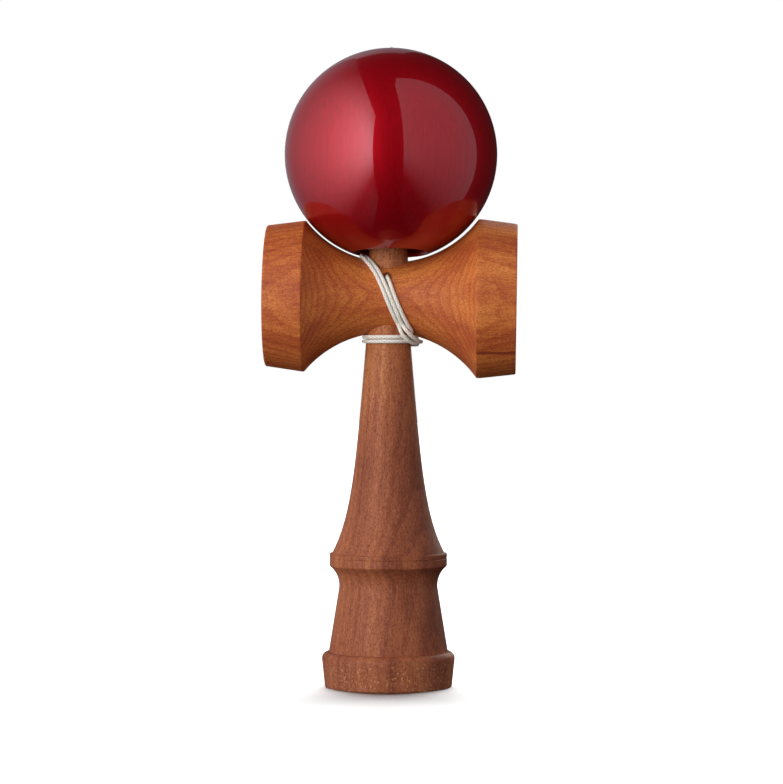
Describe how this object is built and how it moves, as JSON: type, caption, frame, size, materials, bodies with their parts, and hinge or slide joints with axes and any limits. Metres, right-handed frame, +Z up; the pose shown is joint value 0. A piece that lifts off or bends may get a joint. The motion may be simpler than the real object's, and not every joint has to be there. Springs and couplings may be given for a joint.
{
  "type": "kendama",
  "caption": "Wooden cup-and-ball toy: turned handle with a spike and a cupped foot, a cross piece with cups at its ends, and a lacquered ball on a cord wound round the neck.",
  "frame": {"origin": "centre of the foot, on the surface that the toy stands on", "axes": "+Z up along the handle to its spike, +X along the cross piece to its larger cup, -Y to the front where the cord leaves the cross piece"},
  "size_m": [0.0712, 0.0615, 0.1813],
  "materials": {
    "handle_wood": "fine-pored dark red-brown hardwood, oiled",
    "cross_wood": "orange-brown hardwood, oiled",
    "ball_lacquer": "deep red gloss lacquer over wood",
    "bead_wood": "plain sanded wood",
    "cord": "cream twisted cord"
  },
  "bodies": {
    "handle": {"handle": "handle_wood", "cross_piece": "cross_wood", "anchor_knot": "cord", "cord_lead": "cord", "cord_neck_winding": "cord", "cord_first_loop": "cord", "cord_second_loop": "cord", "cord_riser": "cord"},
    "bead": {"stop_bead": "bead_wood", "bead_knot": "cord", "cord_ball_end": "cord"},
    "ball": {"ball": "ball_lacquer"}
  },
  "joints": [
    {"name": "ball_lift", "type": "slide", "parent": "handle", "child": "bead", "axis": [0, 0, 1], "range_m": [0, 0.045], "deforming": ["cord_riser"]},
    {"name": "ball_spin", "type": "hinge", "parent": "bead", "child": "ball", "pos_m": [0.00075, 0, 0.15033], "axis": [0, 0.1045, 0.9945], "continuous": true}
  ]
}
